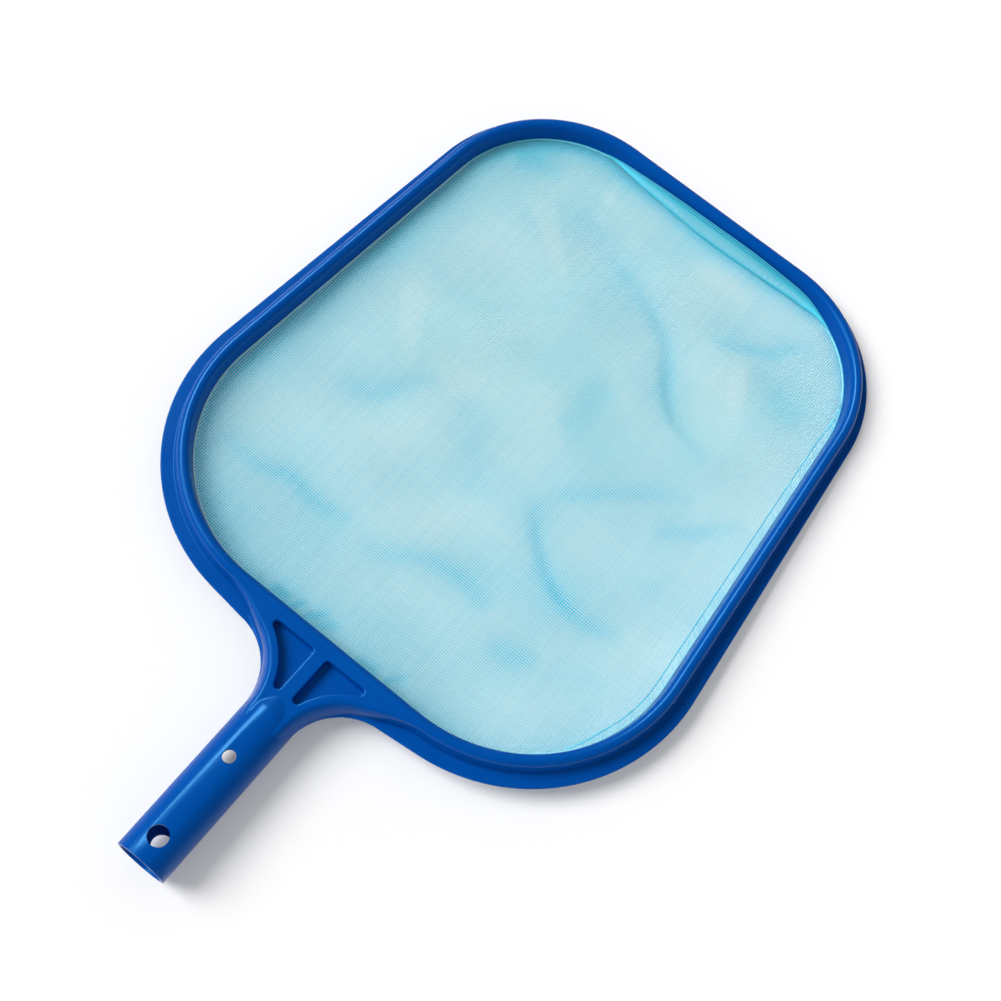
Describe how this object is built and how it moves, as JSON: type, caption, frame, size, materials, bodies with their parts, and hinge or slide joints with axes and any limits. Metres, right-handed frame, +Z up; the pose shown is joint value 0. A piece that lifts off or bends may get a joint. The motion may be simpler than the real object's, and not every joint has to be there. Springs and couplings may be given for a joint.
{
  "type": "leaf skimmer net",
  "caption": "Flat pool leaf skimmer head: a moulded rim with a round bead and scoop flange, a slack net clamped under the bead, and a throat bracket with a pole socket.",
  "frame": {"origin": "under the middle of the part, at the level of the pole socket's underside", "axes": "+Y from the pole socket's mouth towards the far edge of the rim, +Z up out of the net on the bead's side, +X across"},
  "size_m": [0.3672, 0.559, 0.033],
  "materials": {
    "frame_plastic": "semi-gloss moulded blue polypropylene",
    "net_mesh": "fine woven pale blue nylon mesh"
  },
  "bodies": {
    "root": {"rim_frame": "frame_plastic", "throat_bracket": "frame_plastic", "pole_socket": "frame_plastic", "skimmer_net": "net_mesh", "net_clamp_ring": "frame_plastic"}
  },
  "joints": []
}
